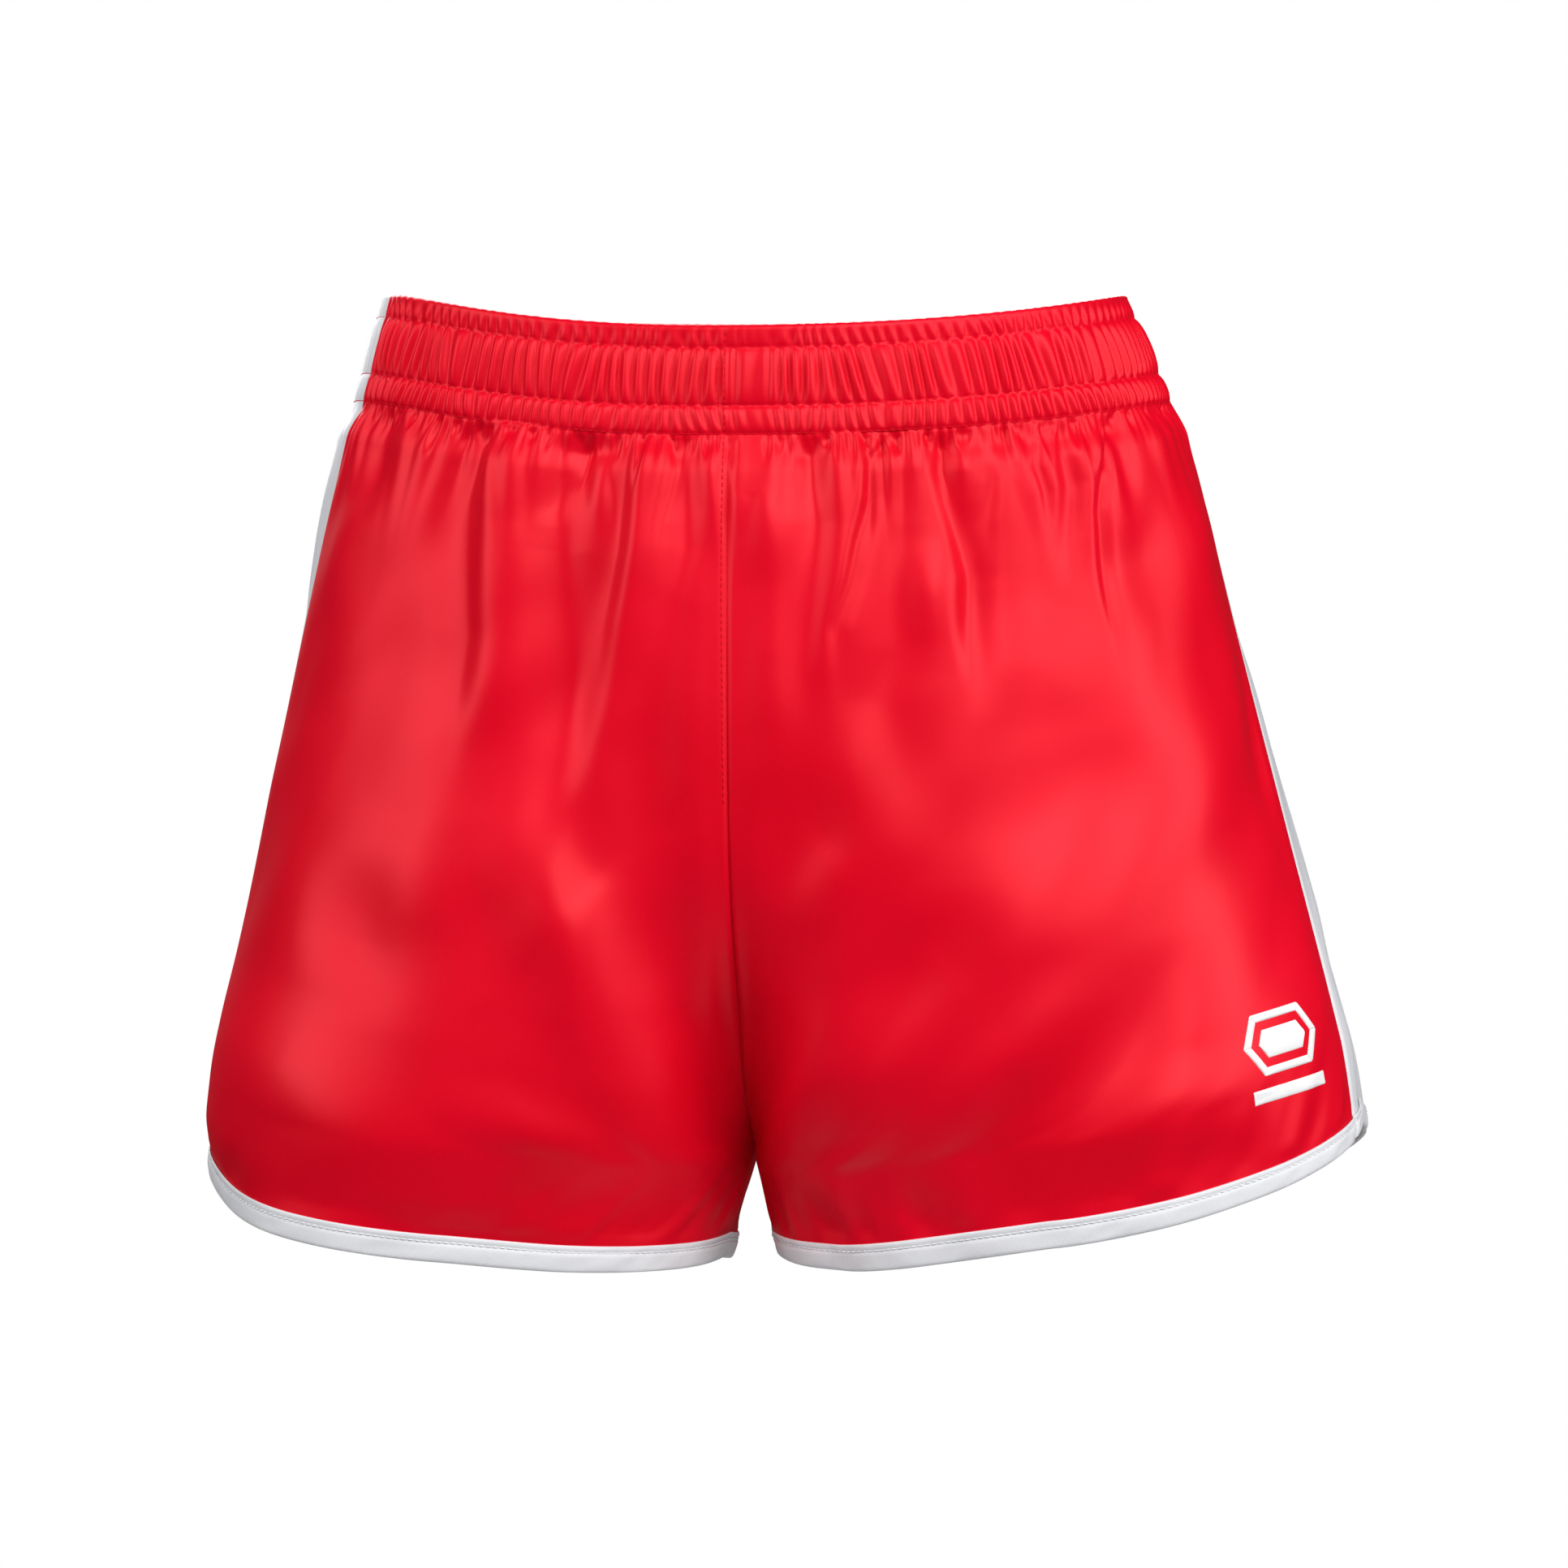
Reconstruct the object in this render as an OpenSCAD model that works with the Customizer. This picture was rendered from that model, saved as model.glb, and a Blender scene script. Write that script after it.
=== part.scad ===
// Satin boxing shorts, held open as they are worn.
// Millimetres, +Z up, +X towards the wearer's left, -Y towards the front.
// The origin is the middle of the waist opening, half way down the waistband.

/* [Waistband] */
// Half width of the top edge on the wearer's left
waist_half_left = 138; // [125:1:148]
// Half width of the top edge on the wearer's right
waist_half_right = 141; // [125:1:148]
// Depth of the top edge, front to back
waist_d = 188; // [170:1:205]
// Height of the elastic waistband
band_h = 40; // [34:1:46]
// Height of the top edge above the origin at the sides
side_top = 27; // [20:1:32]
// How far the top edge dips at the centre front
front_dip = 17; // [8:1:24]
// How far the top edge dips at the centre back
back_dip = 4; // [0:1:10]
// Distance of the upper stitch row below the top edge
upper_row = 8; // [6:1:12]
// Distance of the middle stitch row below the top edge
middle_row = 29; // [24:1:32]
// Thickness of the elastic
elastic_t = 1.4; // [1:0.1:1.8]

/* [Body] */
// Half width under the waistband on the wearer's left
band_half_left = 155; // [145:1:165]
// Half width under the waistband on the wearer's right
band_half_right = 152; // [145:1:165]
// Half width that the wearer's left leg flares to
hem_half_left = 229; // [215:1:240]
// Half width that the wearer's right leg flares to
hem_half_right = 210; // [205:1:240]
// Deepest reach of the front, at the hips
hip_front = 103; // [95:1:112]
// Deepest reach of the back, at the seat
hip_back = 120; // [105:1:130]
// Reach of a leg's front at the hem
hem_front = 93; // [85:1:100]
// Reach of a leg's back at the hem
hem_back = 104; // [90:1:115]
// Thickness of the satin
cloth_t = 0.5; // [0.4:0.1:0.8]

/* [Legs] */
// Height of the crotch, below the origin
crotch_z = -292; // [-300:1:-280]
// Height at which the legs start to part, below the origin
part_z = -165; // [-200:1:-140]
// Lowest point of the hem, below the origin
hem_z = -333; // [-345:1:-320]
// How much higher the hem is at the side than at its lowest point, on the wearer's left
side_rise = 55; // [30:1:65]
// How much higher the hem is at the side, on the wearer's right
side_rise_right = 44; // [30:1:65]
// How much higher the hem is at the inseam
inner_rise = 2; // [0:1:12]
// Gap between the legs at the hem
leg_gap = 19; // [12:1:30]
// Width of the white side panels
side_panel_w = 34; // [20:1:44]
// Width of the white hem binding
binding_w = 8; // [6:1:11]
// Angle by which the inseams sit in front of the innermost line
inseam_lean = 20; // [0:1:28]

/* [Trim] */
// Width of the embroidered emblem
emblem_w = 38; // [24:1:42]
// Width of the size label
size_label_w = 22; // [16:1:30]
// Width of the care label
care_label_w = 26; // [20:1:32]

/* [Hidden] */

LEFT = 1;     // the wearer's left, at +X
RIGHT = -1;
FRONT = 1;
BACK = -1;

red = "#d8122a";
white = "#f2f2f2";
thread_t = 0.35;      // how far a stitch row stands proud
skin_gap = 0.1;       // air between stacked trim and the cloth
fit_gap = 0.05;       // air on each face of the elastic
label_t = 0.5;
label_clear = 0.4;    // air between a label's sewn edge and the waistband
label_drop = 34;      // length of the size label
care_drop = 46;       // length of the care label
squareness = 0.88;    // power that fills the cross-sections out from a plain oval
casing_back = cloth_t + elastic_t;

// Angle, measured from the side towards the front, at which the side panel's middle runs:
// [at the waist, at the hem] for the wearer's left and right.
side_line_left = [-14, 4];
side_line_right = [10, -20];
// How quickly the hem climbs to the side on each leg.
climb_left = 1.52;
climb_right = 1.7;

// Rows run down the cloth. 0 is the top edge, 1 the bottom of the waistband, 2 the hem.
saddle_row = 1.89;    // the row that passes through the crotch point
parted_row = 1.45;    // the row where the legs begin to part
binding_row = 2 - binding_w / 300;
panel_end_row = 1.998;
band_rows = [0, 1.2 / band_h, upper_row / band_h, middle_row / band_h, 38 / band_h, 1];
hip_steps = 12;
hip_rows = [for (i = [1:hip_steps]) 1 + (saddle_row - 1) * i / hip_steps];
leg_rows = [(saddle_row + binding_row) / 2, binding_row];
rows = concat(band_rows, hip_rows, leg_rows, [panel_end_row]);
casing_last = 5;      // index in rows of the casing's lower edge
panel_steps = 12;

// Extra columns by a panel's two seams, so that seam strips lie on the same facets.
allowance_w = 7;      // width of the raw edges inside a seam
seam_clear = 1;       // from the seam to the strip beside it
near = [seam_clear, seam_clear + 1, seam_clear + allowance_w] / 190;

// ---------------------------------------------------------------- helper maths
function mix(a, b, t) = a + (b - a) * t;
function limit(x, a, b) = min(max(x, a), b);
function ease(t) = let (c = limit(t, 0, 1)) c * c * (3 - 2 * c);
function signed_pow(x, p) = sign(x) * pow(abs(x), p);
function unit(v) = v / norm(v);
function without_last(list) = [for (i = [0:len(list) - 2]) list[i]];
function reversed(list) = [for (i = [len(list) - 1:-1:0]) list[i]];

// ---------------------------------------------------------------- the cloth's outer face
// Share of the way from the bottom of the waistband to the hem, for a height.
function drop(z) = (side_top - band_h - z) / (side_top - band_h - (hem_z + side_rise));

// The flare slows down towards the hem.
function flare(t) = t < 0.88 ? t : 0.88 + 0.12 * (1 - exp(-(t - 0.88) / 0.12));

function half_width(side, z) =
    let (waist = side == LEFT ? waist_half_left : waist_half_right,
         band = side == LEFT ? band_half_left : band_half_right,
         hem = side == LEFT ? hem_half_left : hem_half_right,
         t = drop(z))
    t < 0 ? mix(band, waist, -t * (side_top - band_h - hem_z - side_rise) / band_h)
          : mix(band, hem, flare(t));

// How far the surface reaches to the front or the back, for a height.
function reach(face, z) =
    let (hip = face == FRONT ? hip_front : hip_back,
         hem = face == FRONT ? hem_front : hem_back,
         t = drop(z))
    t < 0.45 ? mix(waist_d / 2, hip, ease((t + 0.15) / 0.6))
             : mix(hip, hem, ease((t - 0.45) / 0.75));

// 0 where the body is one tube, 1 where the two legs just part.
function parting(z) = limit((part_z - z) / (part_z - crotch_z), 0, 1);

// Half the gap between the legs, below the crotch.
function half_gap(z) = leg_gap / 2 * limit((crotch_z - z) / (crotch_z - hem_z), 0, 2);

// The middle of one leg's oval, from the centre plane.
function leg_middle(side, z) =
    z > crotch_z ? half_width(side, z) * parting(z) / (1 + parting(z))
                 : (half_width(side, z) + half_gap(z)) / 2;

// A point of the outer face: angle 0 at the side, 90 at the front, 180 at the inner thigh.
function skin(side, angle, z) =
    let (middle = leg_middle(side, z),
         half = half_width(side, z) - middle,
         face = sin(angle) >= 0 ? FRONT : BACK)
    [side * max(0, middle + half * signed_pow(cos(angle), squareness)),
     -reach(face, z) * signed_pow(sin(angle), squareness),
     z];

// The outward normal there.
function normal(side, angle, z) =
    let (da = skin(side, angle + 0.6, z) - skin(side, angle - 0.6, z),
         dz = skin(side, angle, z + 0.6) - skin(side, angle, z - 0.6))
    unit(cross(dz, da)) * side;

// ---------------------------------------------------------------- rows and columns
// A column is [side, face, a]. a is -1 on the side panel's middle line, 0 on its edge,
// and 1 on the centre seam or the inseam.

// Height of the hem, for m from 0 at the side to 1 at the inseam.
function hem_height(side, m) =
    let (climb = side == LEFT ? climb_left : climb_right,
         rise = side == LEFT ? side_rise : side_rise_right)
    hem_z + (m < 0.8 ? rise * pow(1 - m / 0.8, climb) : inner_rise * pow((m - 0.8) / 0.2, 2));

function top_height(face, m) = side_top - (face == FRONT ? front_dip : back_dip) * pow(sin(90 * m), 2);

// Share of the way down to the hem at the centre, so that saddle_row meets the crotch.
function share(face, row) =
    let (top = top_height(face, 1) - band_h,
         saddle = (top - crotch_z) / (top - hem_height(LEFT, 1)))
    row < saddle_row ? saddle * (row - 1) / (saddle_row - 1)
                     : mix(saddle, 1, (row - saddle_row) / (2 - saddle_row));

function height(side, face, m, row) =
    row <= 1 ? top_height(face, m) - row * band_h
             : mix(top_height(face, m) - band_h, hem_height(side, m),
                   mix(share(FRONT, row), share(face, row), m));

// Angle at which a row ends, on the centre seam or the inseam.
function end_angle(face, z) =
    z > crotch_z ? acos(-parting(z))
                 : 180 - face * inseam_lean * ease((crotch_z - z) / 18);

function side_line(side, row) =
    let (line = side == LEFT ? side_line_left : side_line_right)
    mix(line[0], line[1], limit(row - 1, 0, 1));

function place(column, row) =
    let (side = column[0], face = column[1], a = column[2],
         start = side_line(side, row) * face,
         span = end_angle(face, height(side, face, 1, row)) - start,
         edge = side_panel_w / 2 / reach(face, height(side, face, 0, row)) * 180 / PI / span,
         m = a < 0 ? (1 + a) * edge : mix(edge, 1, a))
    [side, face * (start + m * span), height(side, face, m, row)];

function at(column, row, out) =
    let (p = place(column, row)) skin(p[0], p[1], p[2]) + normal(p[0], p[1], p[2]) * out;

function panel_shares() =
    let (n = panel_steps)
    concat([0, near[0], near[2]], [for (i = [1:n - 1]) i / n], [1 - near[2], 1 - near[1], 1 - near[0], 1]);

function panel_columns(side, face) =
    let (list = [for (a = panel_shares()) [side, face, a]])
    face == FRONT ? list : reversed(list);

function side_columns(side) =
    [for (c = [[BACK, 0], [BACK, -0.5], [FRONT, -1], [FRONT, -0.5], [FRONT, 0]]) [side, c[0], c[1]]];

// From the centre back or the inseam, round the side, to the centre front or the inseam.
function half_loop(side) =
    concat(without_last(panel_columns(side, BACK)), without_last(side_columns(side)), panel_columns(side, FRONT));

function waist_loop() = concat(without_last(half_loop(LEFT)), without_last(reversed(half_loop(RIGHT))));

// ---------------------------------------------------------------- solids on the cloth's grid
// A solid made of the cells of a grid of columns, rows and levels. filled(j, k) says whether
// the cells between rows j and j+1 and between levels k and k+1 are solid.
module grid_solid(columns, rows, levels, filled, closed = false) {
    n = len(columns);
    cells = closed ? n : n - 1;
    nj = len(rows);
    nk = len(levels);
    points = [for (c = columns) for (r = rows) for (h = levels) at(c, r, h)];
    function id(i, j, k) = ((i % n) * nj + j) * nk + k;
    function solid(i, j, k) =
        i >= 0 && i < cells && j >= 0 && j < nj - 1 && k >= 0 && k < nk - 1 && filled(j, k);
    function along(i, step) = closed ? (i + step + n) % n : i + step;
    mirrored = columns[0][0] == RIGHT;
    function quad(a, b, c, d) = mirrored ? [[a, b, c], [a, c, d]] : [[b, c, d], [b, d, a]];
    faces = [for (i = [0:cells - 1]) for (j = [0:nj - 2]) for (k = [0:nk - 2]) if (solid(i, j, k))
        each [
            each solid(along(i, -1), j, k) ? []
                : quad(id(i, j, k), id(i, j, k + 1), id(i, j + 1, k + 1), id(i, j + 1, k)),
            each solid(along(i, 1), j, k) ? []
                : quad(id(i + 1, j, k), id(i + 1, j + 1, k), id(i + 1, j + 1, k + 1), id(i + 1, j, k + 1)),
            each solid(i, j - 1, k) ? []
                : quad(id(i, j, k), id(i + 1, j, k), id(i + 1, j, k + 1), id(i, j, k + 1)),
            each solid(i, j + 1, k) ? []
                : quad(id(i, j + 1, k), id(i, j + 1, k + 1), id(i + 1, j + 1, k + 1), id(i + 1, j + 1, k)),
            each solid(i, j, k - 1) ? []
                : quad(id(i, j, k), id(i, j + 1, k), id(i + 1, j + 1, k), id(i + 1, j, k)),
            each solid(i, j, k + 1) ? []
                : quad(id(i, j, k + 1), id(i + 1, j, k + 1), id(i + 1, j + 1, k + 1), id(i, j + 1, k + 1))
        ]];
    polyhedron(points, mirrored ? faces : [for (f = faces) [f[2], f[1], f[0]]], convexity = 8);
}

function everywhere() = function (j, k) true;

// Satin, folded over the elastic at the top and hanging free below it.
function folded() =
    function (j, k) k == 2 || (k == 1 && (j == 0 || j == casing_last - 1)) || (k == 0 && j < casing_last);

module cloth(columns) {
    grid_solid(columns, rows, [-casing_back - cloth_t, -casing_back, -cloth_t, 0], folded());
}

module panel(side, face) {
    color(red) cloth(panel_columns(side, face));
}

module side_panel(side) {
    color(white) cloth(side_columns(side));
}

module waist_elastic() {
    color("white")
        grid_solid(waist_loop(), [1.4 / band_h, upper_row / band_h, middle_row / band_h, 38 / band_h],
                   [-casing_back + fit_gap, -cloth_t - fit_gap], everywhere(), closed = true);
}

// Bias tape folded round the cloth's lower edge.
module hem_binding(side) {
    tape = cloth_t;
    color(white)
        grid_solid(without_last(half_loop(side)), [binding_row, panel_end_row, 2.006],
                   [-cloth_t - tape, -cloth_t, 0, tape],
                   function (j, k) k != 1 || j == 1, closed = true);
}

// A row of stitches round the waist, or round a leg.
module stitch_ring(columns, row, out, tall) {
    r = tall / 2 / (row <= 1 ? band_h : 300);
    grid_solid(columns, [row - r, row + r], [out, out + thread_t], everywhere(), closed = true);
}

module waist_stitch(below_top) {
    color(red) stitch_ring(waist_loop(), below_top / band_h, skin_gap, 1.2);
}

module hem_stitch(side) {
    color(white)
        stitch_ring(without_last(half_loop(side)), binding_row + 2.4 / 300, cloth_t + skin_gap, 0.6);
}

// A strip along a seam, between two columns of a panel and two rows.
module seam_strip(side, face, a_span, row_span, levels) {
    along = [for (r = rows) if (r >= row_span[0] && r <= row_span[1]) r];
    list = [for (a = panel_shares()) if (a >= a_span[0] && a <= a_span[1]) [side, face, a]];
    grid_solid(face == FRONT ? list : reversed(list), along, levels, everywhere());
}

// It runs over the waist stitching, down to where the legs begin to part.
module rise_stitch(face) {
    over_rings = 2 * skin_gap + thread_t;
    color(red)
        seam_strip(RIGHT, face, [1 - near[1], 1 - near[0]], [0, parted_row], [over_rings, over_rings + thread_t]);
}

// The raw edges inside a seam, bound together by overlock thread.
allowance = [-cloth_t - 0.9, -cloth_t - skin_gap];
inside_rows = [1.01, binding_row - 0.01];

module rise_overlock(face) {
    color(red)
        seam_strip(RIGHT, face, [1 - near[2], 1 - near[0]], [1.01, saddle_row - 0.1], allowance);
}

module inseam_overlock(side) {
    color(red)
        seam_strip(side, BACK, [1 - near[2], 1 - near[0]], [saddle_row - 0.01, inside_rows[1]], allowance);
}

module side_overlock(side) {
    color(white)
        for (face = [FRONT, BACK])
            seam_strip(side, face, [near[0], near[2]], inside_rows, allowance);
}

// ---------------------------------------------------------------- emblem
// A plain six-sided badge with a bar under it, on the front of the left leg.
emblem_place = [LEFT, FRONT, 0.175];
emblem_row = 1.86;
emblem_tilt = 11;
badge_rise = 0.13 * emblem_w;

// The badge's outline, wider than it is tall, drawn in evenly by inset.
module badge(inset) {
    tall = 0.3 * emblem_w - inset;
    wide = 0.5 * emblem_w - inset / cos(30);
    tip = wide - tall * tan(30);
    polygon([[-wide, 0], [-tip, tall], [tip, tall], [wide, 0], [tip, -tall], [-tip, -tall]]);
}

module on_cloth(column, row, out) {
    p = place(column, row);
    n = normal(p[0], p[1], p[2]);
    translate(at(column, row, out))
        rotate([0, acos(n[2]), atan2(n[1], n[0])])
            rotate([0, 0, 90])
                children();
}

module emblem_embroidery() {
    thick = 0.8;
    bar_low = -0.42 * emblem_w;
    bar_tall = 0.14 * emblem_w;
    color(white) on_cloth(emblem_place, emblem_row, 0.2)
        rotate(emblem_tilt) {
            translate([0, badge_rise, 0])
                linear_extrude(thick)
                    difference() {
                        badge(0);
                        badge(0.085 * emblem_w);
                    }
            translate([0, badge_rise, 0])
                linear_extrude(thick)
                    badge(0.16 * emblem_w);
            translate([-emblem_w / 2, bar_low, 0])
                cube([emblem_w, bar_tall, thick]);
        }
}

// ---------------------------------------------------------------- labels
// Both hang from the casing's lower edge at the centre back and swing on the seam.
label_y = -(casing_back + cloth_t + 1.4);
label_seam = at([LEFT, BACK, 1], 1, 0) + [0, label_y, -label_clear];
label_gap = 6;

module label(middle_x, width, length) {
    color("white")
        translate(label_seam + [middle_x - width / 2, -label_t / 2, -length])
            cube([width, label_t, length]);
}

module size_label() { label(-(size_label_w + label_gap) / 2, size_label_w, label_drop); }
module care_label() { label((care_label_w + label_gap) / 2, care_label_w, care_drop); }

// The rows that hold the two labels' tops to the casing.
module label_stitch() {
    for (x = [-(size_label_w + label_gap) / 2, (care_label_w + label_gap) / 2])
        color("white")
            translate(label_seam + [x - 7, -label_t / 2, label_clear + 0.3])
                cube([14, 0.5, 1]);
}

panel(LEFT, FRONT);  // front_panel_left
panel(RIGHT, FRONT);  // front_panel_right
panel(LEFT, BACK);  // back_panel_left
panel(RIGHT, BACK);  // back_panel_right
side_panel(LEFT);  // side_panel_left
side_panel(RIGHT);  // side_panel_right
waist_elastic();
hem_binding(LEFT);  // hem_binding_left
hem_binding(RIGHT);  // hem_binding_right
waist_stitch(upper_row);  // waist_stitch_upper
waist_stitch(middle_row);  // waist_stitch_middle
waist_stitch(band_h - 0.8);  // waist_stitch_lower
hem_stitch(LEFT);  // hem_stitch_left
hem_stitch(RIGHT);  // hem_stitch_right
rise_stitch(FRONT);  // front_rise_stitch
rise_stitch(BACK);  // back_rise_stitch
rise_overlock(FRONT);  // front_rise_overlock
rise_overlock(BACK);  // back_rise_overlock
inseam_overlock(LEFT);  // inseam_overlock_left
inseam_overlock(RIGHT);  // inseam_overlock_right
side_overlock(LEFT);  // side_overlock_left
side_overlock(RIGHT);  // side_overlock_right
emblem_embroidery();
size_label();
care_label();
label_stitch();
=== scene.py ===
"""Satin boxing shorts: gathered cloth, bound hems, stitching and an embroidered emblem.

The cloth is built on the same surface as the CAD shell, in millimetres, and then gathered, pinched
and creased along its normal. Everything is handed to Blender in metres.
"""
import math

import bpy
import numpy as np
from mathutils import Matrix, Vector


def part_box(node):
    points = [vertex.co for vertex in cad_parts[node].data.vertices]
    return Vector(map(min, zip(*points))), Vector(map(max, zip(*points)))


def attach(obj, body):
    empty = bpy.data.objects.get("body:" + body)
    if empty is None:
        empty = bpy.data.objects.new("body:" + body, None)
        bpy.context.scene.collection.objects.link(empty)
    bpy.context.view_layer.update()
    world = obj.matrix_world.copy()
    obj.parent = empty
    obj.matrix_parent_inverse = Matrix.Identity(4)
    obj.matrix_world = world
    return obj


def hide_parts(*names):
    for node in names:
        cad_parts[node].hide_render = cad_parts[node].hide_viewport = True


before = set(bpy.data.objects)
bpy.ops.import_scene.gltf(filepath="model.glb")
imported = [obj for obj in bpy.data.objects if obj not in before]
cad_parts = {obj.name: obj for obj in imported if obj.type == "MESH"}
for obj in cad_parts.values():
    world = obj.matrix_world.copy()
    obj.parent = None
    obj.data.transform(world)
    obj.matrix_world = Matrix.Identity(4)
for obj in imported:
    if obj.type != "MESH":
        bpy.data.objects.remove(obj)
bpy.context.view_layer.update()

MM = 0.001
LEFT, RIGHT = 1, -1      # the wearer's left is +X
FRONT, BACK = 1, -1      # the wearer's front is -Y
SIDE_NAMES = {LEFT: "left", RIGHT: "right"}
FACE_NAMES = {FRONT: "front", BACK: "back"}


def box_mm(node):
    low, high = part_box(node)
    return np.array(low) / MM, np.array(high) / MM


# ---------------- sizes, in millimetres
# Two kinds of coordinate run down the cloth: row, 0 at the top edge, 1 at the foot of the waistband
# and 2 at the hem, and d, the distance below the top edge in millimetres.
SIDE_TOP = box_mm("side_panel_left")[1][2]
HEM_Z = box_mm("hem_binding_left")[0][2] + 1.0
BAND_H = 40.0
WAIST_HALF = {LEFT: 138.0, RIGHT: 141.0}     # half the width at the top edge
BAND_HALF = {LEFT: 155.0, RIGHT: 152.0}      # at the foot of the waistband
HEM_HALF = {LEFT: 231.0, RIGHT: 210.0}       # at the hem
WAIST_REACH = 94.0                           # how far the waist reaches forwards and back
HIP_REACH = {FRONT: 103.0, BACK: 120.0}
HEM_REACH = {FRONT: 93.0, BACK: 104.0}
HIP_DROP = 0.45                              # where the hips are, from 0 at the waistband to 1
FLARE_END = 0.88                             # where the sides stop spreading evenly
TOP_DIP = {FRONT: 17.0, BACK: 4.0}           # how much lower the top edge is at the centre
CROTCH_Z = -292.0
PART_Z = -165.0                              # where the legs begin to part
SIDE_RISE = {LEFT: 55.0, RIGHT: 44.0}        # how much higher the hem is at the side
INNER_RISE = {LEFT: 7.0, RIGHT: 2.5}         # and at the inseam
CLIMB = {LEFT: 1.52, RIGHT: 1.7}             # how sharply the hem climbs to the side
HEM_LEVEL = 0.8                              # where the hem is lowest, from 0 at the side to 1
LEG_GAP = 19.0
SIDE_PANEL_W = 34.0
BINDING_W = 8.0
INSEAM_LEAN = 9.0                            # degrees behind the middle line
SIDE_LINE = {LEFT: (-14.0, 5.0), RIGHT: (10.0, -20.0)}     # degrees forwards, at row 1 and at row 2
SQUARENESS = 0.88                            # 1 is an ellipse, and less is squarer
SADDLE_ROW = 1.89                            # the crotch's row
HEM_SPAN = 300.0                             # the distance from row 1 to row 2
HEM_D = BAND_H + HEM_SPAN
BINDING_D = HEM_D - BINDING_W
CROTCH_D = BAND_H + HEM_SPAN * (SADDLE_ROW - 1)
UPPER_ROW, MIDDLE_ROW, LOWER_ROW = 8.0, 29.0, 39.2         # d of each row of waist stitching
FOLD_R = 1.2                                 # half the depth of the casing
SIDE_SPAN = SIDE_TOP - BAND_H - HEM_Z - SIDE_RISE[LEFT]    # from the waistband to the side's hem


# ---------------- small maths
def mix(a, b, t):
    return a + (b - a) * t


def ease(t):
    c = np.clip(t, 0.0, 1.0)
    return c * c * (3 - 2 * c)


def signed_pow(x, p):
    return np.sign(x) * np.abs(x) ** p


def hump(x, middle, reach):
    """1 at the middle, easing to 0 at a distance of reach."""
    return ease(1 - np.abs(x - middle) / reach)


def noise(x, y, seed):
    """Smooth noise from -1 to 1 in cells of size 1."""
    x, y = np.broadcast_arrays(x, y)
    table = np.random.default_rng(seed).uniform(-1, 1, (128, 128))
    xi, yi = np.floor(x).astype(int), np.floor(y).astype(int)
    fx, fy = ease(x - xi), ease(y - yi)

    def corner(i, j):
        return table[(xi + i) % 128, (yi + j) % 128]

    return mix(mix(corner(0, 0), corner(1, 0), fx), mix(corner(0, 1), corner(1, 1), fx), fy)


# ---------------- the smooth surface
def drop(z):
    """0 at the foot of the waistband, and 1 at the side's hem."""
    return (SIDE_TOP - BAND_H - z) / SIDE_SPAN


def flare(t):
    """The spread of the legs, which levels off near the hem."""
    rest = 1 - FLARE_END
    levelled = FLARE_END + rest * (1 - np.exp(-np.maximum(t - FLARE_END, 0) / rest))
    return np.where(t < FLARE_END, t, levelled)


def half_width(side, z):
    t = drop(z)
    up = -t * SIDE_SPAN / BAND_H
    return np.where(t < 0, mix(BAND_HALF[side], WAIST_HALF[side], up),
                    mix(BAND_HALF[side], HEM_HALF[side], flare(t)))


def reach(face, z):
    """How far the cloth reaches forwards or back."""
    t = drop(z)
    hip = np.where(face == FRONT, HIP_REACH[FRONT], HIP_REACH[BACK])
    hem = np.where(face == FRONT, HEM_REACH[FRONT], HEM_REACH[BACK])
    return np.where(t < HIP_DROP, mix(WAIST_REACH, hip, ease((t + 0.15) / 0.6)),
                    mix(hip, hem, ease((t - HIP_DROP) / 0.75)))


def parting(z):
    """0 where the body is one tube, easing to 1 where the two legs just part."""
    t = (PART_Z - z) / (PART_Z - CROTCH_Z)
    return 1 - (1 - np.clip((t + np.sqrt(t * t + 0.03)) / 2 - 0.0075, 0, 1)) ** 1.5


def half_gap(z):
    return LEG_GAP / 2 * np.clip((CROTCH_Z - z) / (CROTCH_Z - HEM_Z), 0, 2)


def leg_middle(side, z):
    above = half_width(side, z) * parting(z) / (1 + parting(z))
    return np.where(z > CROTCH_Z, above, (half_width(side, z) + half_gap(z)) / 2)


def skin(side, angle, z):
    """A point of the smooth outer face. Angle 0 is the side, 90 the front, 180 the inner thigh."""
    a = np.radians(angle)
    middle = leg_middle(side, z)
    half = half_width(side, z) - middle
    face = np.where(np.sin(a) >= 0, FRONT, BACK)
    x = side * np.maximum(0, middle + half * signed_pow(np.cos(a), SQUARENESS))
    y = -reach(face, z) * signed_pow(np.sin(a), SQUARENESS)
    return np.stack(np.broadcast_arrays(x, y, z), -1)


def outward(side, angle, z):
    da = skin(side, angle + 0.6, z) - skin(side, angle - 0.6, z)
    dz = skin(side, angle, z + 0.6) - skin(side, angle, z - 0.6)
    n = np.cross(dz, da) * side
    return n / np.linalg.norm(n, axis=-1, keepdims=True)


# ---------------- rows and columns of the cloth
def hem_height(side, m):
    """The hem's height at share m of the way from the side to the inseam."""
    side_part = SIDE_RISE[side] * np.maximum(1 - m / HEM_LEVEL, 0) ** CLIMB[side]
    inner_part = INNER_RISE[side] * (np.maximum(m - HEM_LEVEL, 0) / (1 - HEM_LEVEL)) ** 2
    return HEM_Z + side_part + inner_part


def top_height(face, m):
    dip = np.where(face == FRONT, TOP_DIP[FRONT], TOP_DIP[BACK])
    return SIDE_TOP - dip * np.sin(np.pi / 2 * m) ** 2


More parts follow.
